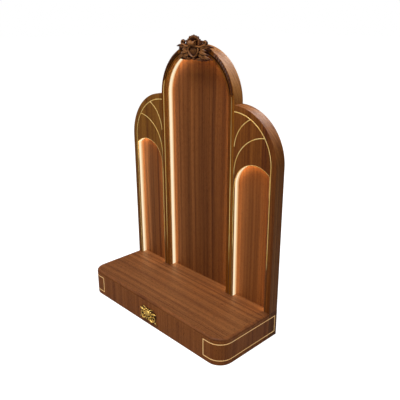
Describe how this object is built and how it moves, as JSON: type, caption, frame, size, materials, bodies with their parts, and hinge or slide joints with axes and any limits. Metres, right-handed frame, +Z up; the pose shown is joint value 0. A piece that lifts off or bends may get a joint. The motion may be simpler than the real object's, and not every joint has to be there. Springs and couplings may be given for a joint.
{
  "type": "household altar",
  "caption": "Open household altar: a low shelf base under a tall back panel with arched, lit niches, gold line inlays, a carved crest and a gilt ornament.",
  "frame": {"origin": "on the surface it stands on, at the middle of the bounding box of the whole object", "axes": "+Z up, the front faces -Y, +X to the right as seen from the front"},
  "size_m": [0.6, 0.2438, 0.8365],
  "materials": {
    "frame_wood": "satin lacquered walnut veneer, upright grain",
    "niche_wood": "satin lacquered walnut veneer, upright grain",
    "base_wood": "satin lacquered walnut veneer, grain across the top and upright on the sides",
    "carved_wood": "dark stained and lacquered carving",
    "brass_line": "polished flat inlay",
    "gilt": "gilded casting with darker recesses",
    "light_band": "opal strip that glows warm white"
  },
  "bodies": {
    "root": {"base": "base_wood", "centre_back": "niche_wood", "left_wing_back": "niche_wood", "right_wing_back": "niche_wood", "centre_frame": "frame_wood", "left_wing_frame": "frame_wood", "right_wing_frame": "frame_wood", "centre_light": "light_band", "left_light": "light_band", "right_light": "light_band", "crest": "carved_wood", "left_garland": "carved_wood", "right_garland": "carved_wood", "base_ornament": "gilt", "left_outer_line": "brass_line", "left_upper_arc": "brass_line", "left_lower_arc": "brass_line", "left_bay_line": "brass_line", "left_base_band": "brass_line", "right_outer_line": "brass_line", "right_upper_arc": "brass_line", "right_lower_arc": "brass_line", "right_bay_line": "brass_line", "right_base_band": "brass_line"}
  },
  "joints": []
}
